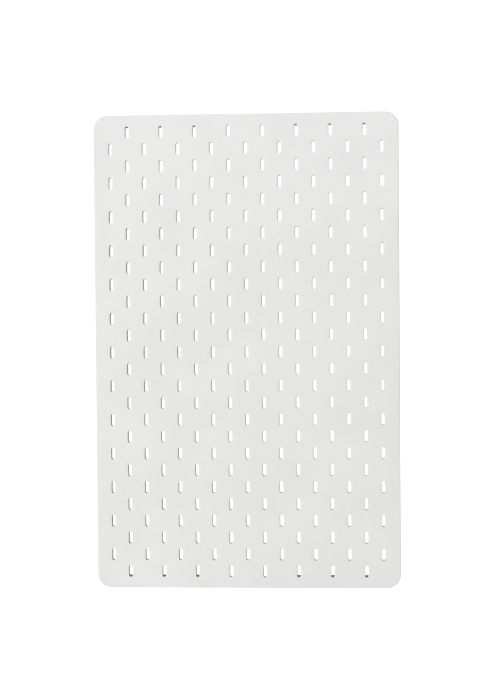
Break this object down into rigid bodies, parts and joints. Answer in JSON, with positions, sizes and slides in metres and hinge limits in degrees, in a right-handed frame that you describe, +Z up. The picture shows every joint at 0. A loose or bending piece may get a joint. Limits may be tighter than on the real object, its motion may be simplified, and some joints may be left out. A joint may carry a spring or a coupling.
{
  "type": "slotted wall panel",
  "caption": "White fibreboard wall panel with rounded corners and a staggered grid of upright slots for display hooks, hung on wall cleats by moulded corner bars.",
  "frame": {"origin": "the wall's surface, behind the middle of the board", "axes": "+X right seen from the front, +Y into the wall, +Z up"},
  "size_m": [0.36, 0.05, 0.56],
  "materials": {
    "board_paint": "smooth white paint on pressed fibreboard",
    "bar_moulding": "fine moulded texture",
    "cleat_moulding": "fine moulded texture",
    "screw_steel": "bright zinc plating",
    "plug_nylon": "natural nylon",
    "pad_felt": "dense felt"
  },
  "bodies": {
    "wall_fixings": {"wall_cleat_left": "cleat_moulding", "cleat_screw_left_inner": "screw_steel", "wall_plug_left_inner": "plug_nylon", "cleat_screw_left_outer": "screw_steel", "wall_plug_left_outer": "plug_nylon", "wall_cleat_right": "cleat_moulding", "cleat_screw_right_inner": "screw_steel", "wall_plug_right_inner": "plug_nylon", "cleat_screw_right_outer": "screw_steel", "wall_plug_right_outer": "plug_nylon"},
    "hung_panel": {"panel": "board_paint", "hanger_bar_left": "bar_moulding", "spacer_bar_left": "bar_moulding", "wall_pad_left_inner": "pad_felt", "wall_pad_left_outer": "pad_felt", "hanger_bar_right": "bar_moulding", "spacer_bar_right": "bar_moulding", "wall_pad_right_inner": "pad_felt", "wall_pad_right_outer": "pad_felt"}
  },
  "joints": [
    {"name": "panel_lift", "type": "slide", "parent": "wall_fixings", "child": "hung_panel", "axis": [0, 0, 1], "range_m": [0, 0.016]}
  ]
}
